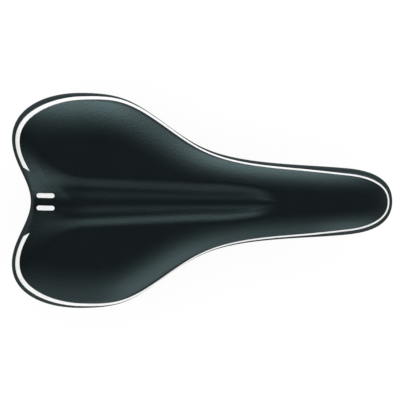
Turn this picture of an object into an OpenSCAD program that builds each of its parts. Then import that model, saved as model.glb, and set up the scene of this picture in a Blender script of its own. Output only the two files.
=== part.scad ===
// Bicycle saddle: a padded seat on a moulded base, carried by one bent rail.
// Millimetres. +X points to the nose, +Y to the rider's left, +Z up.
// The origin is under the middle of the length, on the plane that the rails stand on.

/* [Outline from above] */
// Overall length, tail to nose tip
saddle_length = 275; // [255:1:295]
// Overall width across the wings
saddle_width = 156; // [140:1:170]
// Depth of the notch between the two wings at the tail
notch_depth = 13.5; // [8:0.5:18]
// Distance of each wing's rearmost point from the centre line
wing_rear_y = 45; // [38:1:52]
// Distance of the widest section from the rear
widest_setback = 49; // [42:0.5:55]
// Distance of the waist section behind mid-length
waist_back = 26; // [20:1:32]
// Width across the waist section
waist_width = 110; // [102:1:116]
// Distance of the nose root ahead of mid-length
nose_root_ahead = 29; // [24:1:36]
// Width across the nose root
nose_root_width = 61; // [56:1:68]
// Distance of the nose shoulder from the nose tip
shoulder_setback = 32.5; // [28:0.5:38]
// Width across the nose shoulder
shoulder_width = 48; // [46:1:54]

/* [Profile from the side] */
// Height of the padding's ridge line at the tail
tail_top = 62; // [58:0.5:66]
// Height of the ridge line at the widest section
widest_top = 60; // [56:0.5:64]
// Height of the ridge line at the waist
waist_top = 56; // [53:0.5:60]
// Height of the ridge line along the nose, before it droops
nose_top = 53.2; // [51:0.1:56]
// Length of the nose that droops
droop_length = 62.5; // [55:0.5:70]
// Fall of the nose tip below the ridge line
nose_droop = 11; // [8:0.5:12]
// Height of the cover's lower edge at the tail
tail_hem = 41; // [39:0.5:43]
// Height of the cover's lower edge at the rear of the wings
wing_hem = 38; // [36:0.5:40]
// Height of the cover's lower edge at the widest section
widest_hem = 31; // [29:0.5:33]
// Height of the cover's lower edge at the waist
waist_hem = 26; // [24:0.5:28]
// Height of the cover's lower edge along the nose
nose_hem = 24; // [22:0.5:25]

/* [Cover, padding and gel] */
// Thickness of the cover
cover_t = 1; // [0.8:0.1:1.4]
// Thickness of the padding over the base at the ridge line
padding_t = 13; // [11:0.5:14]
// Thickness of the padding that wraps the base's rim
rim_padding_t = 1.2; // [1:0.1:1.5]
// Height that the folded hem climbs inside the rim
hem_fold = 4.5; // [3:0.5:5]
// Depth of the relief channel's side walls
channel_depth = 2.75; // [2:0.25:3.5]
// Half width of the relief channel at mid-length
channel_half = 10.6; // [9:0.2:12]
// Distance of the channel's closed end ahead of mid-length
channel_ahead = 60; // [48:1:66]
// Depth of the groove along the channel's middle
groove_depth = 1.75; // [1:0.25:2.5]
// Distance from the rear where the channel starts to open into the tail's valley
valley_setback = 54; // [48:0.5:58]
// Depth of the tail's valley below the channel's shelf
valley_depth = 6.75; // [4:0.25:7.5]
// Thickness of the white edge stripe
stripe_t = 0.3; // [0.2:0.05:0.5]
// Length of the two white bars on the tail
tail_bar_length = 13; // [8:0.5:16]
// Width of the two white bars on the tail
tail_bar_width = 3.4; // [2:0.1:5]
// Length of each gel pad
gel_length = 58; // [44:1:64]
// Width of each gel pad
gel_width = 34; // [26:1:38]
// Thickness of each gel pad at its middle
gel_t = 5; // [4:0.5:6]

/* [Base] */
// Wall thickness of the moulded base
base_t = 2.5; // [2.2:0.1:2.8]
// Length of the relief window through the base
window_length = 92; // [60:1:104]
// Width of the relief window through the base
window_width = 15; // [9:0.5:18]
// Depth of the stiffening ribs under the base
rib_depth = 3; // [2:0.5:4]
// Thickness of the stiffening ribs
rib_t = 2; // [1.5:0.1:3]

/* [Rail] */
// Diameter of the rail
rail_d = 7; // [7:0.1:7.2]
// Distance between the rail's two sides where the seat post clamps them
rail_spacing = 44; // [43:0.5:45]
// Length of the straight stretch for the seat post clamp
clamp_length = 80; // [70:1:84]
// Distance of the clamping stretch's middle behind mid-length
clamp_back = 12; // [9:0.5:15]
// Distance of the rail's rear ends from the rear of the saddle
rail_end_setback = 27.5; // [25:0.5:30]
// Distance of the rail's rear ends from the centre line
rail_end_y = 36; // [34:0.5:38]
// Height of the rail's rear ends
rail_end_z = 32.5; // [31.5:0.5:33]
// Distance of the rail's cross bar from the nose tip
cross_bar_setback = 21.5; // [20:0.5:23]
// Distance of the rail's two legs from the centre line at the cross bar
cross_bar_y = 9; // [8.5:0.1:9.5]
// Height of the rail's cross bar
cross_bar_z = 32; // [31:0.5:33]

/* [Sockets, clip and fasteners] */
// Depth of the rail's seat in each rear socket
socket_depth = 17; // [14:0.5:20]
// Wall of the rear sockets around the rail
socket_wall = 2.8; // [2.4:0.1:3.2]
// Thickness of the rear sockets' flange
flange_t = 4; // [3:0.5:4.5]
// Distance of each flange screw from the rail's line
flange_screw_y = 11.5; // [11.2:0.1:12.5]
// Thickness of the nose clip under the rail
clip_floor_t = 2.2; // [1.8:0.1:3]
// Outer diameter of the screws' threads
screw_d = 4; // [3.5:0.1:4.2]
// Diameter of the screws' heads
head_d = 7.4; // [7:0.1:7.6]
// Height of the screws' heads
head_h = 2.4; // [2:0.1:3]
// Length of the staples' crowns
staple_w = 7; // [5:0.5:8]
// Thickness of the staples' wire
staple_d = 0.8; // [0.6:0.1:1]

/* [Hidden] */
$fn = 24;

// Clearance between soft layers that lie on each other
layer_gap = 0.2;
// Clearance between the folded hem and the inside of the base's rim
fold_gap = 0.5;
// Clearance of the printed film over the cover's facets
film_gap = 0.15;
// Clearance around the rail and the screws
fit_gap = 0.05;
// Length by which a cutting or joining shape passes the face it meets
over = 1;

// Stations along one side of the outline, from the notch to the nose tip.
// Each row: x, y, heading in degrees, reach of the curve before it, reach after it.
half_length = saddle_length / 2;
widest_x = widest_setback - half_length;
waist_x = -waist_back;
nose_root_x = nose_root_ahead;
shoulder_x = half_length - shoulder_setback;
stations = [
    [notch_depth - half_length, 0, 90, 0, 15.3],
    [-half_length, wing_rear_y, 90, 17, 21],
    [widest_x, saddle_width / 2, 0, 28, 29.5],
    [waist_x, waist_width / 2, -36, 30, 23.5],
    [nose_root_x, nose_root_width / 2, -9.7, 25.5, 23.5],
    [shoulder_x, shoulder_width / 2, -5.4, 21.5, 17],
    [half_length, 0, -90, 17, 0]
];

// What each section has at those stations: how far ahead its ridge point is, its heights,
// and the tuck of its side.
ridge_ahead = [26.5, 44, 8, -2, -2, -9, -24];
ridge_x = [for (i = [0 : len(stations) - 1]) stations[i].x + ridge_ahead[i]];
nose_root_rise = 0.8;
nose_tip_fall = 0.6;
top_z = [tail_top, tail_top, widest_top, waist_top, nose_top + nose_root_rise, nose_top,
         nose_top - nose_tip_fall];
shoulder_hem_rise = 0.5;
tip_hem_rise = 3;
hem_z = [tail_hem, wing_hem, widest_hem, waist_hem, nose_hem, nose_hem + shoulder_hem_rise,
         nose_hem + tip_hem_rise];
tuck_in = [2, 2.5, 3, 2.5, 1, 0.5, 0.5];
// Across a section the crown is level, then falls in a shallow arc that starts arc_in from the edge,
// and turns down into the side over the last corner_in.
arc_in = [17, 25, 34, 28, 20.5, 20, 21];
arc_drop = [3.3, 1.8, 12.6, 11.4, 8.2, 7.4, 3.9];
corner_in = [3, 6, 6, 4, 3.5, 4, 4];
corner_drop = [3, 10, 11, 9, 8.5, 8, 5];
base_roundness = 3;
// The padding is thinner over the nose than over the wings
nose_thinning = [0, 0, -1, 1, 2.5, 2.5, 2];

// White stripe: distance of its outer edge from the outline, and its width, at each half station
stripe_in = [3.2, 3.2, 3.3, 4, 2.5, 1, 0.4, 1, 1.7, 2.2, 3.5, 3.7, 2.6];
stripe_width = [3.4, 3.4, 3.4, 3, 2.1, 1.6, 1.2, 0.9, 1, 1.1, 1.05, 1.15, 1.1];
stripe_start = 0.655;
stripe_slant = -0.03;

// Steps along the six stretches between stations
steps = [4, 6, 4, 3, 3, 5];
places = [for (i = [0 : len(steps) - 1]) for (k = [0 : steps[i] - 1]) i + k / steps[i], len(steps)];
side_count = len(places) - 1;
loop_count = 2 * side_count;

// Rings across a section: shares of the way over the channel, on to the corner, and round the corner
channel_rings = [0, 0.3, 0.55, 1];
crown_rings = [0.4, 0.75, 1];
corner_rings = [0.7, 1];
least_ring = 6;
channel_share = 0.5;
base_rings = [0, 0.3, 0.55, 0.75, 0.9, 1];
// Rings down the side below its widest line
skirt_rings = [0.5, 1];

// Shape helpers
function mix(a, b, u) = a + (b - a) * u;
function unit(v) = v / norm(v);
function limit(v, low, high) = min(max(v, low), high);
function smooth(low, high, v) = let (u = limit((v - low) / (high - low), 0, 1)) u * u * (3 - 2 * u);
function heading(angle) = [cos(angle), sin(angle)];

// A smooth curve through a list of values that never passes them, level at both ends; t counts stations
function slope_at(v, i) =
    (i == 0 || i == len(v) - 1) ? 0
    : let (a = v[i] - v[i - 1], b = v[i + 1] - v[i]) a * b <= 0 ? 0 : 2 * a * b / (a + b);
function along(v, t) =
    let (i = min(floor(t), len(v) - 2), u = t - i)
    v[i] * (1 + 2 * u) * pow(1 - u, 2) + v[i + 1] * u * u * (3 - 2 * u)
    + slope_at(v, i) * u * pow(1 - u, 2) - slope_at(v, i + 1) * u * u * (1 - u);

// Outline at t, as a cubic curve between two stations, and its outward normal
function curve_handles(i) =
    let (a = stations[i], b = stations[i + 1])
    [[a.x, a.y], [a.x, a.y] + a[4] * heading(a[2]), [b.x, b.y] - b[3] * heading(b[2]), [b.x, b.y]];
function outline_point(t) =
    let (i = min(floor(t), len(stations) - 2), u = t - i, w = 1 - u, h = curve_handles(i))
    w * w * w * h[0] + 3 * w * w * u * h[1] + 3 * w * u * u * h[2] + u * u * u * h[3];
function outline_normal(t) =
    let (i = min(floor(t), len(stations) - 2), u = t - i, w = 1 - u, h = curve_handles(i),
         d = unit(w * w * (h[1] - h[0]) + 2 * w * u * (h[2] - h[1]) + u * u * (h[3] - h[2])))
    [-d.y, d.x];
function outline_inset(t, d) = outline_point(t) - d * outline_normal(t);

// Relief channel: two side walls with a shelf between them and a groove along the middle.
// Its nose end closes, and towards the tail its walls widen into a valley that is steeper low down.
channel_spread = 0.045;
channel_ogive = 3;
channel_close = 0.6;
wall_half = 4.7;
wall_power = 2;
valley_in = 0.0085;
valley_out = 0.0195;
valley_skew = 0.6;
valley_run = 43.5;
valley_x = valley_setback - half_length;
groove_from = 0.06;
groove_to = 0.7;
groove_least = 0.5;
groove_full = 14;
groove_tail_setback = 7.5;
groove_tail_run = 34;
groove_tail_x = groove_tail_setback - half_length;
function channel_half_at(x) =
    x < 0 ? channel_half - x * channel_spread : channel_half * (1 - pow(x / channel_ahead, channel_ogive));
function channel_at(x, y) =
    x >= channel_ahead ? 0
    : let (half = channel_half_at(x), past = max(0, valley_x - x), opened = smooth(0, valley_run, past),
           low = half - wall_half - valley_in * past * past,
           high = half + wall_half + valley_out * past * past,
           share = limit((abs(y) - low) / (high - low), 0, 1), power = wall_power + valley_skew * opened,
           closing = 1 - smooth(channel_close * channel_ahead, channel_ahead, x),
           shelf = channel_depth * closing + valley_depth * opened,
           room = max(half, groove_least),
           groove = groove_depth * min(1, room / groove_full) * closing
                    * smooth(groove_tail_x, groove_tail_x + groove_tail_run, x))
      shelf * pow(1 - share, power) * (1 + power * share)
      + groove * (1 - smooth(groove_from * room, groove_to * room, abs(y)));

// The saddle's upper face, or a face d inside it; f is the share of the way from the ridge line to the edge
function nose_fall(x) = nose_droop * pow(max(0, x - half_length + droop_length) / droop_length, 2);
function edge_reach(t) = (outline_point(t) - [along(ridge_x, t), 0]) * outline_normal(t);
function crown_point(t, f, d) =
    let (p = mix([along(ridge_x, t), 0], outline_inset(t, d), f), away = (1 - f) * (edge_reach(t) - d),
         arc = max(0, 1 - away / along(arc_in, t)), corner = limit(1 - away / along(corner_in, t), 0, 1))
    [p.x, p.y, along(top_z, t) - d - along(arc_drop, t) * arc * arc
               - (along(corner_drop, t) - d) * (1 - sqrt(1 - corner * corner))
               - nose_fall(p.x) - channel_at(p.x, p.y)];

// A domed face of the base. side is how far its edge lies inside the outline, drop how far its ridge line
// lies under the cover's, and rim is the height of its edge.
function dome_point(t, f, side, drop, rim, power) =
    let (ridge = [along(ridge_x, t), 0], p = mix(ridge, outline_inset(t, side), f),
         rise = pow(max(0, 1 - pow(f, power)), 1 / power))
    [p.x, p.y, mix(rim, along(top_z, t) - drop, rise)];

// Shares f of the rings across a padded section
function padded_rings(t) =
    let (ridge = along(ridge_x, t), across = norm(outline_point(t) - [ridge, 0]),
         edge = min(channel_share, max(least_ring, channel_half_at(ridge) + wall_half) / across),
         corner = 1 - along(corner_in, t) / edge_reach(t))
    concat(channel_rings * edge, [for (w = crown_rings) mix(edge, corner, w)],
           [for (w = corner_rings) mix(corner, 1, w)]);
function base_ring(w) = pow(sin(90 * w), 2 / base_roundness);

// Heights and depths that the layers share, and the most of the base's depth that the folded hem climbs
fold_share = 0.6;
function side_z(t, d) = crown_point(t, 1, d).z;
function padding_at(t) = padding_t - along(nose_thinning, t);
function rim_z(t) = along(hem_z, t) + cover_t + layer_gap;
function rim_side(t) = along(tuck_in, t) + cover_t + rim_padding_t + 2 * layer_gap;

// One ring of a layer: its points on the left side, from the notch to the nose tip
function padded_ring(d, k) = [for (t = places) crown_point(t, padded_rings(t)[k], d)];
function skirt_ring(d, v, foot) = [for (t = places)
    let (p = outline_inset(t, d + along(tuck_in, t) * v * v))
    [p.x, p.y, mix(side_z(t, d), foot + along(hem_z, t), v)]];
function base_side_ring(d, w) = [for (t = places)
    dome_point(t, base_ring(w), rim_side(t) + d, padding_at(t) + d, rim_z(t), base_roundness)];
function rim_ring(d, foot) = [for (t = places)
    let (p = outline_inset(t, rim_side(t) + d)) [p.x, p.y, foot + along(hem_z, t)]];
function fold_ring(d) = [for (t = places)
    let (inner = base_t + fold_gap + d, depth = along(top_z, t) - padding_at(t) - inner - rim_z(t),
         f = pow(1 - pow(min(fold_share, hem_fold / depth), base_roundness), 1 / base_roundness))
    dome_point(t, f, rim_side(t) + inner, padding_at(t) + inner, rim_z(t), base_roundness)];
function ridge_ring(foot) = [for (t = places) [along(ridge_x, t), 0, foot + along(hem_z, t)]];
padded_count = len(channel_rings) + len(crown_rings) + len(corner_rings);
function padded_face(d) = [for (k = [0 : padded_count - 1]) padded_ring(d, k)];

// A closed skin through rings. The first and last ring lie on the ridge line, so they aren't mirrored.
// After the ring number turn the skin comes back, and its facets lie parallel to those on the way out.
function flipped(p) = [p.x, -p.y, p.z];
function mirrored(ring) = concat(ring, [for (i = [side_count - 1 : -1 : 1]) flipped(ring[i])]);
function folded(j) = j <= side_count ? j : loop_count - j;
module ring_solid(rings, turn) {
    last = len(rings) - 1;
    points = [for (i = [0 : last]) each (i == 0 || i == last) ? rings[i] : mirrored(rings[i])];
    function index(i, j) =
        i == 0 ? folded(j % loop_count)
        : side_count + 1 + (i - 1) * loop_count + (i == last ? folded(j % loop_count) : j % loop_count);
    polyhedron(points, [for (i = [0 : last - 1]) for (j = [0 : loop_count - 1])
        let (a = index(i, j), b = index(i, j + 1), c = index(i + 1, j + 1), d = index(i + 1, j),
             at_tail = min(j, loop_count - 1 - j) < side_count / 2)
        each (i < turn) == ((j < side_count) == at_tail)
            ? [[a, c, b], [a, d, c]] : [[a, d, b], [b, d, c]]]);
}
function reversed(v) = [for (i = [len(v) - 1 : -1 : 0]) v[i]];

// Frame with its Z axis along a direction, at a point
module lay_along(p, z_axis, x_hint) {
    y_axis = unit(cross(z_axis, x_hint));
    x_axis = cross(y_axis, z_axis);
    multmatrix([for (i = [0 : 2]) [x_axis[i], y_axis[i], z_axis[i], p[i]], [0, 0, 0, 1]]) children();
}
module stadium(length, width) {
    for (s = [-1, 1]) translate([s * (length - width) / 2, 0]) circle(d = width);
    square([length - width, width], center = true);
}
module on_left() { children(); }
module on_right() { mirror([0, 1, 0]) children(); }

// Rail: corners of its line, and the bend radius at each inner corner
clamp_rear_x = -clamp_back - clamp_length / 2;
clamp_front_x = -clamp_back + clamp_length / 2;
rear_bend = 38;
front_bend = 45;
bar_bend = 7.5;
bend_thinning = 0.02;
bend_lap = 0.3;
rail_z = rail_d / 2;
rail_end = [rail_end_setback - half_length, rail_end_y, rail_end_z];
bar_corner = [half_length - cross_bar_setback, cross_bar_y, cross_bar_z];
// The corner beyond a straight stretch's end, so that the bend towards a far point starts at that end
function bend_corner(end, out, bend, far, tries = 20, reach = 0) =
    let (corner = end + out * reach)
    tries == 0 ? corner
    : bend_corner(end, out, bend, far, tries - 1, bend * tan(acos(out * unit(far - corner)) / 2));
clamp_rear = [clamp_rear_x + bend_lap, rail_spacing / 2, rail_z];
clamp_front = [clamp_front_x - bend_lap, rail_spacing / 2, rail_z];
rear_corner = bend_corner(clamp_rear, [-1, 0, 0], rear_bend, rail_end);
front_corner = bend_corner(clamp_front, [1, 0, 0], front_bend, bar_corner);
left_corners = [rail_end, rear_corner, front_corner, bar_corner];
rail_corners = concat(left_corners, [for (p = reversed(left_corners)) flipped(p)]);
rail_bends = [rear_bend, front_bend, bar_bend, bar_bend, front_bend, rear_bend];

// A round rod along corners, as straight lengths and true bends; drawing thins it a little in each bend
module bent_rod(corners, bends, r) {
    last = len(corners) - 1;
    turn = [for (i = [1 : last - 1])
        acos(limit(unit(corners[i] - corners[i - 1]) * unit(corners[i + 1] - corners[i]), -1, 1))];
    cut = [0, for (i = [0 : len(bends) - 1]) bends[i] * tan(turn[i] / 2), 0];
    for (i = [0 : last - 1]) {
        d = unit(corners[i + 1] - corners[i]);
        start = i == 0 ? 0 : cut[i] - bend_lap;
        end = i == last - 1 ? 0 : cut[i + 1] - bend_lap;
        lay_along(corners[i] + d * start, d, [0, 0, 1])
            cylinder(r = r, h = norm(corners[i + 1] - corners[i]) - start - end);
    }
    for (i = [1 : last - 1]) {
        a = unit(corners[i] - corners[i - 1]);
        b = unit(corners[i + 1] - corners[i]);
        inward = unit(b - (a * b) * a);
        axis = cross(a, inward);
        centre = corners[i] - a * cut[i] + inward * bends[i - 1];
        multmatrix([for (k = [0 : 2]) [-inward[k], a[k], axis[k], centre[k]], [0, 0, 0, 1]])
            rotate_extrude(angle = turn[i - 1]) translate([bends[i - 1], 0]) circle(r = r - bend_thinning);
    }
}

// Rear sockets: the rail's line into the socket, and the flange above it
end_direction = unit(rail_end - rear_corner);
socket_r = rail_d / 2 + fit_gap + socket_wall;
socket_floor_t = 3;
socket_mouth = rail_end - end_direction * socket_depth;
flange_turn = atan2(end_direction.y, end_direction.x);
flange_setback = 5;
flange_rise = 8.5;
flange_border = 1;
flange_centre = rail_end - end_direction * flange_setback;
flange_top = rail_end_z + flange_rise;
flange_length = 2 * (flange_screw_y + head_d / 2 + flange_border);
flange_room = 8;
flange_width = head_d + flange_room;
web_narrowing = 3;
web_width = 2 * socket_r - web_narrowing;
web_shortening = 2;
web_length = socket_depth - web_shortening;
boss_wall = 2.6;
thread_reach = 7;
// Height of the shapes that are clipped to the base's underside, and how far that clip reaches down
hanging_reach = 40;

// Nose clip: a frame in the plane of the rail's two front legs, at the middle of the cross bar
leg_direction = unit([bar_corner.x - front_corner.x, 0, bar_corner.z - front_corner.z]);
leg_normal = [-leg_direction.z, 0, leg_direction.x];
bar_middle = [bar_corner.x, 0, bar_corner.z];
clip_border = 3;
clip_front = rail_d / 2 + clip_border;
clip_back = 25;
clip_width = 2 * (cross_bar_y + rail_d / 2) + clip_border;
clip_split = 0.2;
clip_screw_x = [-10, -19.5];
clip_bottom = -rail_d / 2 - clip_floor_t;
module nose_frame() { lay_along(bar_middle, leg_normal, leg_direction) children(); }

// Two long ribs run beside the relief window, and short ones reach from them across each wing
rib_setback = 5;
rib_y = window_width / 2 + rib_setback;
rib_overhang = 8;
rib_pitch = 22;
cross_rib_ahead = 4.5;
cross_rib_x = [for (k = [0 : 2]) widest_x + cross_rib_ahead + k * rib_pitch];
rib_hem_gap = 4.5;
window_middle_x = -20;

// Padded and moulded layers
module cover() {
    fold_in = base_t + fold_gap;
    color([0.05, 0.06, 0.065]) ring_solid(concat(
        padded_face(0),
        [for (v = skirt_rings) skirt_ring(0, v, 0)],
        [rim_ring(fold_in + cover_t, 0), fold_ring(cover_t), fold_ring(0), rim_ring(fold_in, cover_t)],
        [for (v = reversed(skirt_rings)) skirt_ring(cover_t, v, cover_t)],
        reversed(padded_face(cover_t))), padded_count + len(skirt_rings) + 1);
}

module foam_form() {
    d = cover_t + layer_gap;
    ring_solid(concat(
        padded_face(d),
        [for (v = skirt_rings) skirt_ring(d, v, d)],
        [for (w = reversed(base_rings)) base_side_ring(-layer_gap, w)]),
        padded_count + len(skirt_rings) - 1);
}

// Gel pads lie in pockets of the foam, under the sit bones, leaning with the surface
gel_ahead = 4;
gel_inward = 40;
gel_x = widest_x + gel_ahead;
gel_y = saddle_width / 2 - gel_inward;
gel_lean = 7;
gel_turn = 12;
gel_crown = 10;
module gel_block(grow) {
    floor_z = widest_top - cover_t - layer_gap - gel_t;
    translate([gel_x, gel_y, floor_z - grow]) rotate([-gel_lean, 0, -gel_turn])
        linear_extrude(gel_t + gel_crown) stadium(gel_length + 2 * grow, gel_width + 2 * grow);
}

module foam_pad() {
    color([0.75, 0.74, 0.66]) difference() {
        foam_form();
        on_left() gel_block(layer_gap);
        on_right() gel_block(layer_gap);
    }
}

module gel_pad() {
    color([0.35, 0.55, 0.7]) intersection() {
        foam_form();
        gel_block(0);
    }
}

// A wall that follows the base, from one depth under its upper face to another
module base_layer(from, to) {
    ring_solid(concat([for (w = base_rings) base_side_ring(from, w)],
                      [for (w = reversed(base_rings)) base_side_ring(to, w)]), len(base_rings) - 1);
}
// Everything under a face of the base, to clip what hangs from it
module under_base(depth) {
    ring_solid(concat([for (w = base_rings) base_side_ring(depth, w)],
                      [rim_ring(depth, -hanging_reach), ridge_ring(-hanging_reach)]),
               len(base_rings));
}

// The room inside the folded hem, seen from above
module inside_hem() {
    edge = [for (t = places) outline_inset(t, rim_side(t) + base_t + fold_gap + cover_t + rib_hem_gap)];
    linear_extrude(saddle_width) polygon(concat(edge, [for (p = reversed(edge)) [p.x, -p.y]]));
}

module flange_screw_places() {
    translate([flange_centre.x, flange_centre.y, 0]) rotate(flange_turn)
        for (s = [-1, 1]) translate([0, s * flange_screw_y, 0]) children();
}
module clip_screw_places() {
    nose_frame() for (x = clip_screw_x) translate([x, 0, 0]) children();
}

module flange_bosses() {
    flange_screw_places() translate([0, 0, flange_top])
        cylinder(r = screw_d / 2 + boss_wall, h = hanging_reach);
}
// A hole for a screw that reaches from one height to a depth above it, open at its foot
module screw_hole(z, depth) {
    translate([0, 0, z - over]) cylinder(d = screw_d + 2 * fit_gap, h = depth + over + fit_gap);
}

module base_shell() {
    color([0.09, 0.09, 0.1]) difference() {
        union() {
            base_layer(0, base_t);
            intersection() {
                base_layer(base_t - over, base_t + rib_depth);
                inside_hem();
                for (s = [-1, 1]) {
                    translate([window_middle_x - window_length / 2 - rib_overhang, s * rib_y - rib_t / 2, 0])
                        cube([window_length + 2 * rib_overhang, rib_t, saddle_width]);
                    for (x = cross_rib_x) translate([x - rib_t / 2, s > 0 ? rib_y : -saddle_width / 2, 0])
                        cube([rib_t, saddle_width / 2 - rib_y, saddle_width]);
                }
            }
            intersection() {
                under_base(over);
                union() {
                    on_left() flange_bosses();
                    on_right() flange_bosses();
                    nose_frame() translate([-clip_back, -clip_width / 2, clip_split / 2])
                        cube([clip_back + clip_front, clip_width, hanging_reach]);
                }
            }
        }
        translate([window_middle_x, 0, 0]) linear_extrude(saddle_width) stadium(window_length, window_width);
        on_left() flange_screw_places() screw_hole(flange_top - flange_t, thread_reach);
        on_right() flange_screw_places() screw_hole(flange_top - flange_t, thread_reach);
        clip_screw_places() screw_hole(0, thread_reach);
        bent_rod(rail_corners, rail_bends, rail_d / 2 + fit_gap);
    }
}

module rails() {
    color([0.72, 0.73, 0.75]) bent_rod(rail_corners, rail_bends, rail_d / 2);
}

module rear_socket() {
    color([0.07, 0.07, 0.08]) difference() {
        union() {
            lay_along(socket_mouth, end_direction, [0, 0, 1])
                cylinder(r = socket_r, h = socket_depth + socket_floor_t);
            translate([flange_centre.x, flange_centre.y, flange_top - flange_t]) rotate(flange_turn + 90)
                linear_extrude(flange_t) stadium(flange_length, flange_width);
            translate([flange_centre.x, flange_centre.y, flange_centre.z]) rotate(flange_turn)
                translate([-web_length / 2, -web_width / 2, 0])
                    cube([web_length, web_width, flange_top - flange_t / 2 - flange_centre.z]);
        }
        lay_along(socket_mouth, end_direction, [0, 0, 1]) translate([0, 0, -over])
            cylinder(r = rail_d / 2 + fit_gap, h = socket_depth + over + fit_gap);
        flange_screw_places() screw_hole(flange_top - flange_t, thread_reach);
    }
}

// Pan head screw with a hexagon socket, standing on its head's seat at z 0
module screw(length) {
    socket_d = head_d / 2;
    socket_floor = 0.8;
    difference() {
        union() {
            cylinder(d = screw_d, h = length);
            translate([0, 0, -head_h]) cylinder(d = head_d, h = head_h);
        }
        translate([0, 0, -head_h - over]) cylinder(d = socket_d, h = head_h - socket_floor + over, $fn = 6);
    }
}

module socket_screws() {
    color([0.6, 0.61, 0.63]) flange_screw_places() translate([0, 0, flange_top - flange_t])
        screw(thread_reach);
}

module nose_clip() {
    color([0.07, 0.07, 0.08]) difference() {
        nose_frame() translate([(clip_front - clip_back) / 2, 0, clip_bottom])
            linear_extrude(-clip_bottom - clip_split / 2) stadium(clip_back + clip_front, clip_width);
        bent_rod(rail_corners, rail_bends, rail_d / 2 + fit_gap);
        clip_screw_places() screw_hole(clip_bottom, thread_reach);
    }
}

module nose_screws() {
    color([0.6, 0.61, 0.63]) clip_screw_places() translate([0, 0, clip_bottom])
        screw(thread_reach - clip_bottom);
}

// Staples that hold the folded hem to the inside of the base's rim, one on each long facet of the fold
staple_gap = 0.15;
staple_share = 0.55;
staple_room = 2;
fold_foot = rim_ring(base_t + fold_gap + cover_t, 0);
fold_top = fold_ring(cover_t);
module staple(i) {
    low = mix(fold_foot[i], fold_foot[i + 1], 0.5);
    high = mix(fold_top[i], fold_top[i + 1], 0.5);
    sideways = unit(fold_top[i + 1] - fold_top[i]);
    inward = unit(cross(sideways, high - low));
    if (norm(fold_top[i + 1] - fold_top[i]) > staple_w + staple_room)
        lay_along(mix(low, high, staple_share) + inward * staple_gap, inward, sideways)
            translate([-staple_w / 2, -staple_d / 2, 0]) cube([staple_w, staple_d, staple_d]);
}
module cover_staples() {
    color([0.7, 0.7, 0.72]) for (i = [0 : side_count - 1]) {
        on_left() staple(i);
        on_right() staple(i);
    }
}

// White stripe near the cover's edge, from one wing round the nose to the other
function stripe_point(t, d, lift) = crown_point(t, 1 - d / edge_reach(t), -lift);
function stripe_section(t, slant) =
    let (outer = along(stripe_in, 2 * t), width = along(stripe_width, 2 * t))
    [for (lift = [0, stripe_t]) for (u = lift == 0 ? [1, 0.5, 0] : [0, 0.5, 1])
        stripe_point(t - slant * u, outer + width * u, film_gap + lift)];
module edge_stripe() {
    left = [stripe_section(stripe_start, stripe_slant),
            for (t = places) if (t > stripe_start + stripe_slant / 2) stripe_section(t, 0)];
    sections = concat(left, [for (i = [len(left) - 2 : -1 : 0]) [for (p = left[i]) flipped(p)]]);
    n = len(sections[0]);
    end = n * (len(sections) - 1);
    color([0.93, 0.94, 0.94]) polyhedron([for (s = sections) each s], concat(
        [for (k = [0 : 1]) each [[k, k + 1, n - 2 - k], [k, n - 2 - k, n - 1 - k]]],
        [for (i = [0 : n : end - n]) for (k = [0 : n - 1]) let (next = (k + 1) % n)
            each [[i + k, i + n + k, i + n + next], [i + k, i + n + next, i + next]]],
        [for (k = [0 : 1])
            each [[end + k, end + n - 2 - k, end + k + 1], [end + k, end + n - 1 - k, end + n - 2 - k]]]));
}

// Two plain white bars on the tail
tail_bar_ahead = 11;
tail_bar_x = notch_depth + tail_bar_ahead - half_length;
tail_bar_y = 4.5;
module tail_bars() {
    color([0.93, 0.94, 0.94]) intersection() {
        ring_solid(concat(padded_face(-film_gap - stripe_t), reversed(padded_face(-film_gap))),
                   padded_count - 1);
        for (s = [-1, 1]) translate([tail_bar_x, s * tail_bar_y, tail_hem])
            linear_extrude(saddle_width) stadium(tail_bar_length, tail_bar_width);
    }
}

cover();
edge_stripe();
tail_bars();
foam_pad();
on_left() gel_pad();  // gel_pad_left
on_right() gel_pad();  // gel_pad_right
base_shell();
rails();
on_left() rear_socket();  // rear_socket_left
on_right() rear_socket();  // rear_socket_right
on_left() socket_screws();  // socket_screws_left
on_right() socket_screws();  // socket_screws_right
nose_clip();
nose_screws();
cover_staples();
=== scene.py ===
import math
import bmesh
import bpy
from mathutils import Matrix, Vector
from mathutils.bvhtree import BVHTree


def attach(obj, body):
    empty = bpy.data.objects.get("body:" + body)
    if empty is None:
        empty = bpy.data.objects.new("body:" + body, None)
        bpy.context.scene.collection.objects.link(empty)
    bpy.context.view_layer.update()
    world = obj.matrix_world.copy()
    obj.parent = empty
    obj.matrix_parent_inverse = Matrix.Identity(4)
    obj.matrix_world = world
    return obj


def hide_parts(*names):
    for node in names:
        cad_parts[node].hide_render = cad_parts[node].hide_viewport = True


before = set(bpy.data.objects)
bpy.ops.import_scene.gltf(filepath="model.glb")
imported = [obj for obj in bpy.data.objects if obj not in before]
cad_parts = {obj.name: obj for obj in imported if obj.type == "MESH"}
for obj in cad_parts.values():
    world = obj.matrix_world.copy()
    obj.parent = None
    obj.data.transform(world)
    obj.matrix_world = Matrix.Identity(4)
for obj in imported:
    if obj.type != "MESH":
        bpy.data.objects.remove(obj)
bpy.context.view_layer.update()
scene = bpy.context.scene
mm = 0.001  # the saddle's own numbers are in millimetres
print("frame loaded:", len(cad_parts), "nodes")

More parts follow.
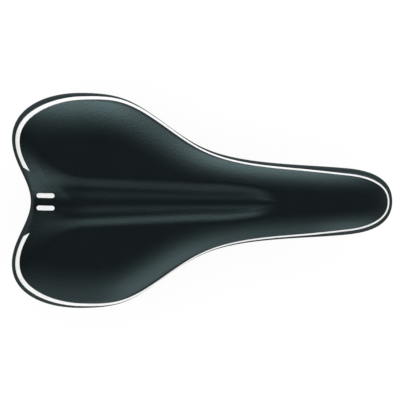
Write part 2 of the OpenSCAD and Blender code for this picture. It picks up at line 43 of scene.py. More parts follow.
# the saddle's form at seven stations, from the tail notch round one side to the nose tip
# its numbers are the solids', with a softer tail
form = {
    "stations": [  # x, y, heading in degrees, reach before, reach after
        (-124, 0, 90, 0, 15.3),
        (-137.5, 45, 90, 17, 21),
        (-88.5, 78, 0, 28, 29.5),
        (-26, 55, -36, 30, 23.5),
        (29, 30.5, -9.7, 25.5, 23.5),
        (105, 24, -5.4, 21.5, 17),
        (137.5, 0, -90, 17, 0),
    ],
    "ridgeX": [-97.5, -93.5, -80.5, -28, 27, 96, 113.5],
    "topZ": [62, 62, 60, 56, 54, 53.2, 52.6],
    "hemZ": [41, 38, 31, 26, 24, 24.5, 27],
    "tuckIn": [2, 2.5, 3, 2.5, 1, 0.5, 0.5],
    "arcIn": [17, 25, 34, 28, 20.5, 20, 21],  # a shallow arc starts this far from the edge
    "arcDip": 0.22,  # nearer by this share halfway between the notch and the wing
    "arcDrop": [3.4, 2.6, 12.6, 11.4, 8.2, 7.4, 3.9],
    "cornerIn": [3, 6, 6, 4, 3.5, 4, 4],  # and turns down into the side here
    "cornerDrop": [3, 9.2, 11, 9, 8.5, 8, 5],
    "droopFrom": 75,  # ahead of here the nose bends down
    "droopRun": 62.5,
    "noseDrop": 11,
    "noseThinning": [0, 0, -1, 1, 2.5, 2.5, 2],
    "baseRoundness": 3,
    "coverT": 1.0,
    "padding": 13.0,
    "rimPadding": 1.2,
    "baseT": 2.5,
    "layerGap": 0.2,
    "foldGap": 0.5,
    "hemFold": 4.5,
}
lastStation = len(form["stations"]) - 1
foldIn = form["baseT"] + form["foldGap"] + form["coverT"]  # from the base's outer face in to the fold


def mix(a, b, u):
    return a + (b - a) * u


def smooth(low, high, v):
    u = min(max((v - low) / (high - low), 0), 1)
    return u * u * (3 - 2 * u)


def slopeAt(values, i):
    if i == 0 or i == len(values) - 1:
        return 0
    a, b = values[i] - values[i - 1], values[i + 1] - values[i]
    return 0 if a * b <= 0 else 2 * a * b / (a + b)


def along(name, t):  # a row of values, read between two of its places
    values = form[name] if isinstance(name, str) else name
    i = min(int(t), len(values) - 2)
    u = t - i
    return (values[i] * (1 + 2 * u) * (1 - u) ** 2 + values[i + 1] * u * u * (3 - 2 * u)
            + slopeAt(values, i) * u * (1 - u) ** 2 - slopeAt(values, i + 1) * u * u * (1 - u))


def heading(degrees):
    a = math.radians(degrees)
    return Vector((math.cos(a), math.sin(a)))


def outline(t):  # a point on the outline seen from above, and the way out from it
    i = min(int(t), lastStation - 1)
    u = t - i
    w = 1 - u
    ax, ay, aHeading, _, aReach = form["stations"][i]
    bx, by, bHeading, bReach, _ = form["stations"][i + 1]
    pa, pb = Vector((ax, ay)), Vector((bx, by))
    ha = pa + aReach * heading(aHeading)
    hb = pb - bReach * heading(bHeading)
    point = w ** 3 * pa + 3 * w * w * u * ha + 3 * w * u * u * hb + u ** 3 * pb
    way = (w * w * (ha - pa) + 2 * w * u * (hb - ha) + u * u * (pb - hb)).normalized()
    return point, Vector((-way.y, way.x))


def inset(t, d):
    point, out = outline(t)
    return point - d * out


def ridgeAt(t):
    return Vector((along("ridgeX", t), 0))


def reachAt(t):  # straight out from the ridge to the edge
    edge, out = outline(t)
    return (edge - ridgeAt(t)).dot(out)


def raised(p, z):
    return Vector((p.x, p.y, z))


def domePoint(t, f, side, drop, rim, power):  # f runs from the ridge line, 0, to the edge, 1
    p = ridgeAt(t).lerp(inset(t, side), f)
    rise = max(0, 1 - f ** power) ** (1 / power)
    return raised(p, mix(rim, along("topZ", t) - drop, rise))


def noseDroop(x):
    return form["noseDrop"] / form["droopRun"] ** 2 * max(0, x - form["droopFrom"]) ** 2


def crownPoint(t, f, d):  # the saddle's upper face, or a face d inside it
    edge, out = outline(t)
    ridge = ridgeAt(t)
    p = ridge.lerp(edge - d * out, f)
    away = (1 - f) * ((edge - ridge).dot(out) - d)  # how far the edge is
    between = 4 * t * max(0, 1 - t)  # 1 halfway from the notch to the wing, 0 at both
    arcIn = along("arcIn", t) * (1 - form["arcDip"] * between ** 2)
    arc = max(0, 1 - away / arcIn)
    corner = min(1, max(0, 1 - away / along("cornerIn", t)))
    turn = 1 - math.sqrt(1 - corner * corner)
    fall = along("arcDrop", t) * arc * arc + (along("cornerDrop", t) - d) * turn
    return raised(p, along("topZ", t) - d - fall - noseDroop(p.x))


def crownShare(t, part, u):  # rows stand closer together where the face turns down into the side
    corner = along("cornerIn", t) / reachAt(t)
    if part == "dome":
        return u * (1 - corner)
    return 1 - corner * (1 - math.sin(u * math.pi / 2))


def paddingAt(t):
    return form["padding"] - along("noseThinning", t)


def rimZ(t):
    return along("hemZ", t) + form["coverT"] + form["layerGap"]


def rimSide(t):
    return along("tuckIn", t) + form["coverT"] + form["rimPadding"] + 2 * form["layerGap"]


# relief channel: an outer wall on each side, a shelf inside it and a groove along the middle
channel = {
    "halfAtMiddle": 10.6, "spread": 0.045, "noseEnd": 60, "ogive": 3, "closeFrom": 0.6,
    "wallHalf": 4.7, "wallDepth": 2.75,
    "flareFrom": -83.8, "flareIn": 0.0082, "flareOut": 0.02,
    "skew": 0.75, "tailDepth": 6.8, "tailRun": 43,
    "grooveFrom": 0.06, "grooveTo": 0.7, "grooveDepth": 1.75, "leastHalf": 0.5, "fullHalf": 14,
    "grooveTailFrom": -130, "grooveTailTo": -96,
}


def channelDrop(x, y):
    c = channel
    if x >= c["noseEnd"]:
        return 0
    if x < 0:
        half = c["halfAtMiddle"] - x * c["spread"]
    else:
        half = c["halfAtMiddle"] * (1 - (x / c["noseEnd"]) ** c["ogive"])
    closing = 1 - smooth(c["closeFrom"] * c["noseEnd"], c["noseEnd"], x)
    outer = c["wallDepth"] * closing
    past = max(0, c["flareFrom"] - x)  # towards the tail the channel opens into a wide valley
    opened = smooth(0, c["tailRun"], past)
    outer += c["tailDepth"] * opened
    low = half - c["wallHalf"] - c["flareIn"] * past * past
    high = half + c["wallHalf"] + c["flareOut"] * past * past
    share = min(max((abs(y) - low) / (high - low), 0), 1)
    power = 2 + c["skew"] * opened  # and its walls are steeper low down
    shelf = outer * (1 - share) ** power * (1 + power * share)
    half = max(half, c["leastHalf"])
    groove = c["grooveDepth"] * min(1, half / c["fullHalf"])
    groove = groove * smooth(c["grooveTailFrom"], c["grooveTailTo"], x) * closing
    return shelf + groove * (1 - smooth(c["grooveFrom"] * half, c["grooveTo"] * half, abs(y)))


def coverTop(t, f, d):  # the padded face, d inside the cover's outer face
    p = crownPoint(t, f, d)
    p.z -= channelDrop(p.x, p.y)
    return p


def sideZ(t, d=0):  # where that face ends and the side goes on down
    return coverTop(t, 1, d).z


def ringShare(w, power):  # shares of the way to the edge, closer together where the side turns down
    return math.sin(w * math.pi / 2) ** (2 / power)


def meshPiece(name, bm, material):
    mesh = bpy.data.meshes.new(name)
    bm.to_mesh(mesh)
    bm.free()
    for face in mesh.polygons:
        face.use_smooth = True
    piece = bpy.data.objects.new(name, mesh)
    scene.collection.objects.link(piece)
    mesh.materials.append(material)
    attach(piece, "root")
    return piece


def gridHalf(columns, rows, place):  # a grid moved onto one side of the saddle, then mirrored
    bm = bmesh.new()
    bmesh.ops.create_grid(bm, x_segments=columns, y_segments=rows, size=0.5)
    for v in bm.verts:
        p = place(min(max(v.co.x + 0.5, 0), 1), min(max(v.co.y + 0.5, 0), 1))
        v.co = p * mm
    touch = 0.0000001  # corners nearer than this are one
    for face in bm.faces[:]:  # at the ridge's ends three corners lie on the mirror's plane
        off = [loop for loop in face.loops if abs(loop.vert.co.y) > touch]
        if len(off) == 1:
            opposite = off[0].link_loop_next.link_loop_next.vert
            bmesh.utils.face_split(face, off[0].vert, opposite)
    bmesh.ops.mirror(bm, geom=bm.verts[:] + bm.edges[:] + bm.faces[:], axis="Y", merge_dist=touch)
    bmesh.ops.remove_doubles(bm, verts=bm.verts[:], dist=touch)
    bmesh.ops.recalc_face_normals(bm, faces=bm.faces[:])
    return bm


def rowList(sizes, parts):  # each part's rows, as shares of the way through it
    rows = [(parts[0], 0.0)]
    for part in parts:
        rows += [(part, (i + 1) / sizes[part]) for i in range(sizes[part])]
    return rows


def skin(columns, rows, place):  # a grid along the stations, with these rows across
    last = len(rows) - 1
    return gridHalf(columns, last, lambda s, r: place(lastStation * s, rows[round(r * last)]))


def faceUp(bm):  # an open skin's highest face has to look up
    top = max(bm.faces, key=lambda face: face.calc_center_median().z)
    if top.normal.z < 0:
        bmesh.ops.reverse_faces(bm, faces=bm.faces[:])


def thicken(piece, thickness):
    wall = piece.modifiers.new("wall", "SOLIDIFY")
    wall.thickness = thickness * mm
    wall.offset = -1
    wall.use_even_offset = True
    wall.use_quality_normals = True


def roundEnd(place, straight, radius, least):  # a strip's share of its width, in its round ends
    past = max(0, abs(place) - straight) / radius
    return max(least, math.sqrt(max(0, 1 - past * past)))


overhead = 100  # above all of the saddle


def below(tree, x, y):  # where a skin lies under a point, and its normal there
    hit, normal, _, _ = tree.ray_cast(Vector((x, y, overhead)) * mm, Vector((0, 0, -1)))
    return hit, normal


# materials: a noise is scale, detail and roughness, a bump is distance and strength

def newMaterial(name):
    material = bpy.data.materials.new(name)
    material.use_nodes = True
    tree = material.node_tree
    return material, tree, tree.nodes["Principled BSDF"]


def add(tree, kind, inputs=None, **settings):
    node = tree.nodes.new("ShaderNode" + kind)
    for key, value in settings.items():
        setattr(node, key, value)
    for key, value in (inputs or {}).items():
        socket = node.inputs[key]
        if isinstance(value, bpy.types.NodeSocket):
            tree.links.new(value, socket)
        else:
            socket.default_value = value
    return node


def ramp(tree, value, stops):
    node = add(tree, "ValToRGB", {"Fac": value})
    first, last = node.color_ramp.elements[0], node.color_ramp.elements[1]
    first.position, first.color = stops[0][0], (*stops[0][1], 1)
    last.position, last.color = stops[-1][0], (*stops[-1][1], 1)
    return node.outputs["Color"]


def spread(tree, value, low, high):  # a texture's 0 to 1 as a range of a plain number
    return add(tree, "MapRange", {"Value": value, "To Min": low, "To Max": high}).outputs["Result"]


def spotOn(tree):
    return add(tree, "TexCoord").outputs["Object"]


def noise(tree, where, scale, detail, roughness):
    inputs = {"Vector": where, "Scale": scale, "Detail": detail, "Roughness": roughness}
    return add(tree, "TexNoise", inputs).outputs["Fac"]


def cellular(tree, where, scale):
    return add(tree, "TexVoronoi", {"Vector": where, "Scale": scale}).outputs["Distance"]


def colored(tree, shader, value, stops):
    tree.links.new(ramp(tree, value, stops), shader.inputs["Base Color"])


def roughened(tree, shader, value, low, high):
    tree.links.new(spread(tree, value, low, high), shader.inputs["Roughness"])


def bump(tree, shader, height, distance, strength, under=None):
    node = add(tree, "Bump", {"Height": height, "Distance": distance, "Strength": strength})
    if under:
        tree.links.new(under, node.inputs["Normal"])
    tree.links.new(node.outputs["Normal"], shader.inputs["Normal"])
    return node.outputs["Normal"]


coverLook = {
    "color": [(0.3, (0.0001, 0.0006, 0.0031)), (0.7, (0.0004, 0.0014, 0.0052))],
    "worn": (0.0012, 0.0024, 0.006),
    "patch": (55, 4, 0.5), "pebble": (560, 3, 0.5), "fine": (900, 2, 0.6), "pores": 1500,
    "pebbleBump": (0.0002, 0.55), "poreBump": (0.00003, 0.25), "fineBump": (0.00004, 0.2),
    "roughLow": 0.455, "roughHigh": 0.52, "roughSide": 1.0,
    "ior": 1.55, "gloss": 0.85, "tint": (0.65, 0.97, 1.0, 1),
}


def coverMaterial():
    look = coverLook
    material, tree, shader = newMaterial("microfibreBlack")
    where = spotOn(tree)
    color = ramp(tree, noise(tree, where, *look["patch"]), look["color"])
    wear = add(tree, "Attribute", attribute_name="wear").outputs["Fac"]
    worn = add(tree, "Mix", {"Factor": wear, 6: color, 7: (*look["worn"], 1)}, data_type="RGBA")
    tree.links.new(worn.outputs[2], shader.inputs["Base Color"])
    fine = noise(tree, where, *look["fine"])
    steep = add(tree, "Attribute", attribute_name="steep").outputs["Fac"]
    satin = spread(tree, fine, look["roughLow"], look["roughHigh"])
    rough = add(tree, "Mix", {0: steep, 2: satin, 3: look["roughSide"]})
    tree.links.new(rough.outputs[0], shader.inputs["Roughness"])
    pebbled = bump(tree, shader, noise(tree, where, *look["pebble"]), *look["pebbleBump"])
    pores = cellular(tree, where, look["pores"])
    grained = bump(tree, shader, pores, *look["poreBump"], pebbled)
    bump(tree, shader, fine, *look["fineBump"], grained)
    shader.inputs["IOR"].default_value = look["ior"]
    shader.inputs["Specular IOR Level"].default_value = look["gloss"]
    shader.inputs["Specular Tint"].default_value = look["tint"]
    return material


printLook = {
    "color": [(0.3, (0.81, 0.815, 0.815)), (0.55, (0.88, 0.885, 0.885))],
    "patch": (160, 5, 0.6), "fine": (900, 2, 0.5), "bump": (0.00002, 0.3),
    "roughLow": 0.48, "roughHigh": 0.62, "gloss": 0.25,  # matt ink
}


def printMaterial():
    look = printLook
    material, tree, shader = newMaterial("printWhite")
    where = spotOn(tree)
    colored(tree, shader, noise(tree, where, *look["patch"]), look["color"])
    fine = noise(tree, where, *look["fine"])
    roughened(tree, shader, fine, look["roughLow"], look["roughHigh"])
    bump(tree, shader, fine, *look["bump"])
    shader.inputs["Specular IOR Level"].default_value = look["gloss"]
    return material


foamLook = {
    "color": [(0.1, (0.62, 0.59, 0.5)), (0.6, (0.74, 0.72, 0.64))],
    "cells": 1100, "patch": (300, 3, 0.5), "bump": (0.0003, 0.6),
    "roughLow": 0.85, "roughHigh": 0.97,
}


def foamMaterial():
    look = foamLook
    material, tree, shader = newMaterial("foamCream")
    where = spotOn(tree)
    cells = cellular(tree, where, look["cells"])
    colored(tree, shader, cells, look["color"])
    patches = noise(tree, where, *look["patch"])
    roughened(tree, shader, patches, look["roughLow"], look["roughHigh"])
    bump(tree, shader, cells, *look["bump"])
    return material


gelLook = {
    "color": [(0.3, (0.2, 0.38, 0.52)), (0.7, (0.36, 0.56, 0.68))],
    "patch": (90, 4, 0.5), "bubbles": 320, "bump": (0.0001, 0.3),
    "roughLow": 0.16, "roughHigh": 0.3,
}


def gelMaterial():
    look = gelLook
    material, tree, shader = newMaterial("gelBlue")
    where = spotOn(tree)
    colored(tree, shader, noise(tree, where, *look["patch"]), look["color"])
    bubbles = cellular(tree, where, look["bubbles"])
    roughened(tree, shader, bubbles, look["roughLow"], look["roughHigh"])
    bump(tree, shader, bubbles, *look["bump"])
    return material


nylonLook = {
    "color": [(0.3, (0.012, 0.012, 0.013)), (0.75, (0.03, 0.03, 0.031))],
    "streak": (70, 6, 0.65), "spark": (1300, 4, 0.7), "bump": (0.00008, 0.5),
}


def nylonMaterial(name, roughLow, roughHigh):
    look = nylonLook
    material, tree, shader = newMaterial(name)
    where = spotOn(tree)
    colored(tree, shader, noise(tree, where, *look["streak"]), look["color"])
    spark = noise(tree, where, *look["spark"])
    roughened(tree, shader, spark, roughLow, roughHigh)
    bump(tree, shader, spark, *look["bump"])
    return material


steelLook = {
    "color": [(0.25, (0.42, 0.42, 0.43)), (0.65, (0.6, 0.6, 0.61))],
    "lines": (1, 6, 0.7), "bump": (0.00001, 0.4),
}


def steelMaterial(name, roughLow, roughHigh, stretch):
    look = steelLook
    material, tree, shader = newMaterial(name)
    where = add(tree, "Mapping", {"Vector": spotOn(tree), "Scale": stretch}).outputs["Vector"]
    lines = noise(tree, where, *look["lines"])
    colored(tree, shader, lines, look["color"])
    roughened(tree, shader, lines, roughHigh, roughLow)  # bright lines are the smoother ones
    bump(tree, shader, lines, *look["bump"])
    shader.inputs["Metallic"].default_value = 1.0
    return material


looks = {
    "cover": coverMaterial(),
    "print": printMaterial(),
    "foam": foamMaterial(),
    "gel": gelMaterial(),
    "base": nylonMaterial("nylonBase", roughLow=0.45, roughHigh=0.65),
    "fitting": nylonMaterial("nylonFitting", roughLow=0.36, roughHigh=0.52),
    "rail": steelMaterial("steelRail", roughLow=0.2, roughHigh=0.38, stretch=(60, 2200, 2200)),
    "screw": steelMaterial("steelScrew", roughLow=0.28, roughHigh=0.45, stretch=(900, 900, 900)),
    "staple": steelMaterial("steelStaple", roughLow=0.25, roughHigh=0.4, stretch=(1200, 1200, 1200)),
}
print("materials:", len(looks))

# cover: one skin from the ridge over the side, round the rim and up inside it
cover = {
    "columns": 250,
    "dome": 58, "corner": 14, "skirt": 5, "rim": 6, "under": 3, "curl": 5, "leg": 5,  # rows
    "rimRadius": 2.2, "curlRadius": 1.5, "mostRise": 0.6, "pucker": 0.12, "puckers": 11,
    "wornTilt": 0.55, "wornReach": 0.3, "wornMost": 0.7, "wornAbove": 30,
    "wornFrom": 40, "wornTo": 110, "wornTail": 0.4,
    "mattSides": (0.4, 0.74), "mattEnds": (0.55, 0.92),
}


def legPoint(t, share):  # the hem's fold, climbing the inside of the base
    depth = along("topZ", t) - paddingAt(t) - foldIn - rimZ(t)
    rise = min(cover["mostRise"], form["hemFold"] / depth) * share
    power = form["baseRoundness"]
    f = (1 - rise ** power) ** (1 / power)
    return domePoint(t, f, rimSide(t) + foldIn, paddingAt(t) + foldIn, rimZ(t), power)


def coverPoint(t, row):
    part, u = row
    if part in ("dome", "corner"):
        return coverTop(t, crownShare(t, part, u), 0)
    hem, tuck = along("hemZ", t), along("tuckIn", t)
    rimRadius, curlRadius = cover["rimRadius"], cover["curlRadius"]
    rimTop = 1 - rimRadius / (sideZ(t) - hem)  # where the skirt turns into the rim
    if part == "skirt":
        v = u * rimTop
        return raised(inset(t, tuck * v * v), mix(sideZ(t), hem, v))
    rimIn = tuck * rimTop * rimTop
    legIn = rimSide(t) + foldIn
    a = u * math.pi / 2
    if part == "rim":
        p = inset(t, rimIn + rimRadius * (1 - math.cos(a)))
        return raised(p, hem + rimRadius * (1 - math.sin(a)))
    if part == "under":
        return raised(inset(t, mix(rimIn + rimRadius, legIn - curlRadius, u)), hem)
    if part == "curl":
        p = inset(t, legIn - curlRadius * (1 - math.sin(a)))
        return raised(p, hem + curlRadius * (1 - math.cos(a)))
    first = (curlRadius - form["coverT"] - form["layerGap"]) / form["hemFold"]
    p = legPoint(t, mix(first, 1, u))
    gather = cover["pucker"] * u * (1 + math.cos(t * 2 * math.pi * cover["puckers"]))
    out = outline(t)[1]
    return Vector((p.x - out.x * gather, p.y - out.y * gather, p.z))


coverRows = rowList(cover, ("dome", "corner", "skirt", "rim", "under", "curl", "leg"))
coverBm = skin(cover["columns"], coverRows, coverPoint)
faceUp(coverBm)
coverTree = BVHTree.FromBMesh(coverBm)
wearLayer = coverBm.verts.layers.float.new("wear")
steepLayer = coverBm.verts.layers.float.new("steep")
for v in coverBm.verts:  # rubbed a little along the nose's shoulders and the wings' edges
    x, _, z = v.co / mm
    bend = 1 - min(1, abs(v.normal.z - cover["wornTilt"]) / cover["wornReach"])
    forward = mix(cover["wornTail"], 1, smooth(cover["wornFrom"], cover["wornTo"], x))
    v[wearLayer] = cover["wornMost"] * bend * forward if z > cover["wornAbove"] else 0
    # where it is drawn tight round the rim it is more matt, and from further in at both ends
    ends = v.normal.x ** 2 / max(1e-6, v.normal.x ** 2 + v.normal.y ** 2)
    low, high = [mix(side, end, ends) for side, end in zip(cover["mattSides"], cover["mattEnds"])]
    v[steepLayer] = 1 - smooth(low, high, v.normal.z)
coverSkin = meshPiece("coverSkin", coverBm, looks["cover"])
thicken(coverSkin, form["coverT"])
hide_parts("cover")
print("cover:", len(coverSkin.data.polygons), "faces before its thickness")

# white stripe: a film along the cover's edge
stripe = {
    "inFromEdge": [3.2, 3.2, 3.3, 4, 2.5, 1, 0.4, 1, 1.7, 2.2, 3.5, 3.7, 2.6],  # every half station
    "width": [3.4, 3.4, 3.4, 3, 2.1, 1.6, 1.2, 0.9, 1, 1.1, 1.05, 1.15, 1.1],
    "start": 0.655, "slant": -0.03, "lift": 0.2, "film": 0.3, "columns": 320, "rows": 4,
}


def stripePoint(s, r):
    t = mix(stripe["start"] - stripe["slant"] * r, lastStation, s)
    d = along(stripe["inFromEdge"], 2 * t) + along(stripe["width"], 2 * t) * r
    return coverTop(t, 1 - d / reachAt(t), -stripe["lift"])


stripeBm = gridHalf(stripe["columns"], stripe["rows"], stripePoint)
faceUp(stripeBm)
edgeStripe = meshPiece("edgeStripe", stripeBm, looks["print"])
thicken(edgeStripe, stripe["film"])
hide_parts("edge_stripe")

# two plain bars on the tail, laid on the cover
bars = {"length": 13, "width": 3.4, "x": -113, "y": 4.5, "lift": 0.2, "film": 0.3, "leastEnd": 0.2,
        "columns": 40, "rows": 8}
barRadius = bars["width"] / 2
barsBm = bmesh.new()
for side in (-1, 1):
    made = bmesh.ops.create_grid(barsBm, x_segments=bars["columns"], y_segments=bars["rows"], size=0.5)
    for v in made["verts"]:
        x, y = v.co.x * bars["length"], v.co.y * bars["width"]
        y *= roundEnd(x, bars["length"] / 2 - barRadius, barRadius, bars["leastEnd"])
        hit, normal = below(coverTree, bars["x"] + x, side * bars["y"] + y)
        v.co = hit + normal * bars["lift"] * mm
bmesh.ops.recalc_face_normals(barsBm, faces=barsBm.faces[:])
for face in barsBm.faces:
    if face.normal.z < 0:
        face.normal_flip()
tailBars = meshPiece("tailBars", barsBm, looks["print"])
thicken(tailBars, bars["film"])
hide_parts("tail_bars")
print("print: stripe", len(edgeStripe.data.polygons), "bars", len(tailBars.data.polygons))

# foam: fills the room between cover and base, with a pocket for each gel pad
foam = {"columns": 220, "dome": 58, "corner": 8, "skirt": 4, "under": 26}
gel = {
    "x": -84.5, "y": 38, "length": 58, "width": 34, "thick": 5, "lean": 7, "turn": 12, "top": 58.8,
    "gap": 0.2, "pocketWall": 2, "sideGap": 0.4, "topGap": 0.15, "floorGap": 0.1,
    "leastEnd": 0.12, "flatTo": 0.86, "edgeHeight": 0.5, "columns": 48, "rows": 28,
}
gelTurn, gelLean = math.radians(gel["turn"]), math.radians(gel["lean"])
gelStraight = (gel["length"] - gel["width"]) / 2  # from its middle to where an end gets round


def gelFrame(x, y):  # a point's place along and across the gel pad, and the height of the pad's floor
    dx, dy = x - gel["x"], y - gel["y"]
    a = dx * math.cos(gelTurn) - dy * math.sin(gelTurn)
    b = (dx * math.sin(gelTurn) + dy * math.cos(gelTurn)) / math.cos(gelLean)
    return a, b, gel["top"] - gel["thick"] - b * math.sin(gelLean)


def foamPoint(t, row, pockets):
    part, u = row
    d = form["coverT"] + form["layerGap"]
    if part in ("dome", "corner"):
        p = coverTop(t, crownShare(t, part, u), d)
        a, b, bottom = gelFrame(p.x, abs(p.y))
        edge = math.hypot(max(0, abs(a) - gelStraight), b) - gel["width"] / 2
        if pockets and edge < gel["pocketWall"]:
            climb = smooth(gel["gap"], gel["pocketWall"], edge)
            p.z = mix(min(p.z, bottom - gel["gap"]), p.z, climb)
        return p
    if part == "skirt":
        p = inset(t, d + along("tuckIn", t) * u * u)
        return raised(p, mix(sideZ(t, d), along("hemZ", t) + d, u))
    power, gap = form["baseRoundness"], form["layerGap"]
    return domePoint(t, ringShare(u, power), rimSide(t) - gap, paddingAt(t) - gap, rimZ(t), power)


foamRows = rowList(foam, ("dome", "corner", "skirt"))
foamRows += [("under", 1 - i / foam["under"]) for i in range(foam["under"] + 1)]
plainFoam = skin(foam["columns"], foamRows, lambda t, row: foamPoint(t, row, False))
foamTree = BVHTree.FromBMesh(plainFoam)
plainFoam.free()
foamBm = skin(foam["columns"], foamRows, lambda t, row: foamPoint(t, row, True))
foamPad = meshPiece("foamPad", foamBm, looks["foam"])
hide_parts("foam_pad")


def gelPad(name, side):  # its top follows the foam's and its floor is flat
    bm = bmesh.new()
    bmesh.ops.create_grid(bm, x_segments=gel["columns"], y_segments=gel["rows"], size=0.5)
    radius = gel["width"] / 2 - gel["sideGap"]
    for v in bm.verts:
        a, b = v.co.x * 2, v.co.y * 2
        long = a * (gelStraight + radius)
        wide = b * radius * roundEnd(long, gelStraight, radius, gel["leastEnd"])
        flat = wide * math.cos(gelLean)
        x = gel["x"] + long * math.cos(gelTurn) + flat * math.sin(gelTurn)
        y = gel["y"] - long * math.sin(gelTurn) + flat * math.cos(gelTurn)
        lid = below(foamTree, x, y)[0].z / mm
        bottom = gelFrame(x, y)[2]
        edge = max(abs(a), abs(b))
        rounding = max(0, (edge - gel["flatTo"]) / (1 - gel["flatTo"])) ** 2
        top = mix(lid - gel["topGap"], bottom + gel["edgeHeight"] * (lid - bottom), rounding)
        v.co = Vector((x, y, top)) * mm
    made = bmesh.ops.extrude_face_region(bm, geom=bm.faces[:], use_keep_orig=True)
    for v in made["geom"]:
        if isinstance(v, bmesh.types.BMVert):
            v.co.z = (gelFrame(v.co.x / mm, v.co.y / mm)[2] + gel["floorGap"]) * mm
    if side < 0:
        bmesh.ops.scale(bm, vec=(1, -1, 1), verts=bm.verts[:])
    bmesh.ops.recalc_face_normals(bm, faces=bm.faces[:])
    slope = Vector((1, 7, 53))  # puts the faces in the same order on each run
    bm.faces.sort(key=lambda face: face.calc_center_median().dot(slope))
    return meshPiece(name, bm, looks["gel"])


for name, side, node in (("gelPadLeft", 1, "gel_pad_left"), ("gelPadRight", -1, "gel_pad_right")):
    pad = gelPad(name, side)
    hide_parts(node)
print("padding: foam", len(foamPad.data.polygons), "and two gel pads")

# moulded and metal pieces keep their CAD form: the copy is merged, shaded smooth and its edges are eased
finish = {"near": 0.000004, "flatTo": 0.05, "bevelSteps": 2}
hardware = [  # node, piece, slot, look, sharp from this angle, edges eased by
    ("base_shell", "baseShell", "base", "base", 30, 0.0),
    ("rails", "railRod", "rail", "rail", 40, 0.3),
    ("rear_socket_left", "rearSocketLeft", "base", "fitting", 35, 0.4),
    ("rear_socket_right", "rearSocketRight", "base", "fitting", 35, 0.4),
    ("nose_clip", "noseClip", "base", "fitting", 35, 0.4),
    ("socket_screws_left", "socketScrewsLeft", "screw", "screw", 35, 0.25),
    ("socket_screws_right", "socketScrewsRight", "screw", "screw", 35, 0.25),
    ("nose_screws", "noseScrews", "screw", "screw", 35, 0.25),
    ("cover_staples", "coverStaples", "staple", "staple", 35, 0.2),
]
for node, name, slotName, look, sharpFrom, easing in hardware:
    bm = bmesh.new()
    bm.from_mesh(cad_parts[node].data)
    bmesh.ops.remove_doubles(bm, verts=bm.verts[:], dist=finish["near"])
    bmesh.ops.dissolve_limit(bm, angle_limit=math.radians(finish["flatTo"]), verts=bm.verts[:],
                             edges=bm.edges[:], use_dissolve_boundaries=False)
    piece = meshPiece(name, bm, looks[look])
    piece.data.set_sharp_from_angle(angle=math.radians(sharpFrom))
    if easing:
        edge = piece.modifiers.new("easedEdge", "BEVEL")
        edge.width = easing * mm
        edge.segments = finish["bevelSteps"]
        edge.limit_method = "ANGLE"
        edge.angle_limit = math.radians(sharpFrom)
    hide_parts(node)
print("moulded and metal pieces:", len(hardware))

# stage: a pale floor and a low backdrop far away, white to the camera with the saddle's shadow kept
stage = {"radius": 40.0, "wall": 4.0, "sides": 96, "shade": 0.82, "glow": 0.9, "rest": 0.12}


def stageMaterial():
    material, tree, shader = newMaterial("stagePale")
    tree.nodes.remove(shader)
    path = add(tree, "LightPath").outputs
    seen = path["Is Camera Ray"]
    for kind in ("Is Glossy Ray", "Is Transmission Ray"):
        seen = add(tree, "Math", {0: seen, 1: path[kind]}, operation="MAXIMUM").outputs[0]
    plain = add(tree, "BsdfDiffuse", {"Color": (stage["shade"],) * 3 + (1,)})
    faint = add(tree, "BsdfDiffuse", {"Color": (stage["rest"],) * 3 + (1,)})
    glow = add(tree, "Emission", {"Color": (1, 1, 1, 1), "Strength": stage["glow"]})
    lifted = add(tree, "AddShader", {0: faint.outputs[0], 1: glow.outputs[0]})
    both = add(tree, "MixShader", {0: seen, 1: plain.outputs[0], 2: lifted.outputs[0]})
    tree.links.new(both.outputs[0], tree.nodes["Material Output"].inputs["Surface"])
    return material


floorBm = bmesh.new()
bmesh.ops.create_circle(floorBm, cap_ends=True, radius=stage["radius"], segments=stage["sides"])
rim = [edge for edge in floorBm.edges if edge.is_boundary]
wall = bmesh.ops.extrude_edge_only(floorBm, edges=rim)
bmesh.ops.translate(floorBm, vec=(0, 0, stage["wall"]),
                    verts=[v for v in wall["geom"] if isinstance(v, bmesh.types.BMVert)])
floorMesh = bpy.data.meshes.new("floor")
floorBm.to_mesh(floorMesh)
floorBm.free()
floor = bpy.data.objects.new("floor", floorMesh)
scene.collection.objects.link(floor)
floorMesh.materials.append(stageMaterial())

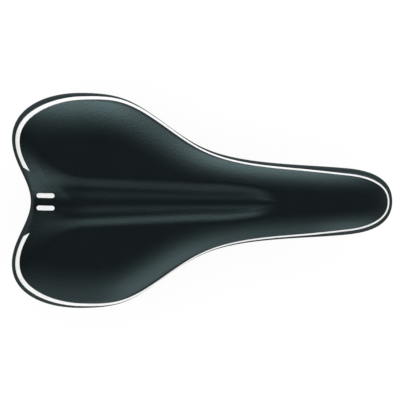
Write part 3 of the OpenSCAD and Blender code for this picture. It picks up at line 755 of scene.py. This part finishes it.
# lights: soft boxes low on both sides, none ahead, behind or overhead
lights = [  # name, azimuth, elevation, distance, width, height, power
    ("keyBox", 82.5, 25, 1.2, 0.9, 0.4, 6.9),
    ("fillNose", -61.5, 25, 1.2, 0.5, 0.4, 2.8),
    ("fillTail", -125.7, 24, 1.2, 0.5, 0.4, 2.72),
]
aim = Vector((-5, 0, 48)) * mm
for name, azimuth, elevation, distance, width, height, power in lights:
    lamp = bpy.data.lights.new(name, "AREA")
    lamp.shape = "RECTANGLE"
    lamp.size, lamp.size_y, lamp.energy = width, height, power
    light = bpy.data.objects.new(name, lamp)
    scene.collection.objects.link(light)
    az, el = math.radians(azimuth), math.radians(elevation)
    away = Vector((math.cos(az) * math.cos(el), math.sin(az) * math.cos(el), math.sin(el)))
    light.location = aim + away * distance
    light.rotation_euler = away.to_track_quat("Z", "Y").to_euler()
    light.visible_camera = False

# sky: even light for matt faces, next to nothing in reflections
sky = {"soft": 0.76, "mirrored": 0.02}
world = bpy.data.worlds.new("studio")
scene.world = world
world.use_nodes = True
skyTree = world.node_tree
background = skyTree.nodes["Background"].inputs
matt = add(skyTree, "LightPath").outputs["Is Diffuse Ray"]
skyTree.links.new(spread(skyTree, matt, sky["mirrored"], sky["soft"]), background["Strength"])
background["Color"].default_value = (1, 1, 1, 1)

# camera: from above, leaning a little to the left side
view = {"lens": 320.0, "sensor": 36.0, "across": 289.2, "lean": 3.5, "roll": 0.23,
        "target": (-2.55, 0.95, 40), "clipEnd": 200}
cameraData = bpy.data.cameras.new("photoView")
cameraData.lens = view["lens"]
cameraData.sensor_width = view["sensor"]
cameraData.clip_end = view["clipEnd"]
camera = bpy.data.objects.new("photoView", cameraData)
scene.collection.objects.link(camera)
lean = math.radians(view["lean"])
distance = view["across"] * mm * view["lens"] / view["sensor"]
camera.location = Vector(view["target"]) * mm + Vector((0, math.sin(lean), math.cos(lean))) * distance
camera.rotation_euler = (-lean, 0, math.radians(view["roll"]))
scene.camera = camera
scene.view_settings.view_transform = "Standard"
print("stage, lights and camera set")
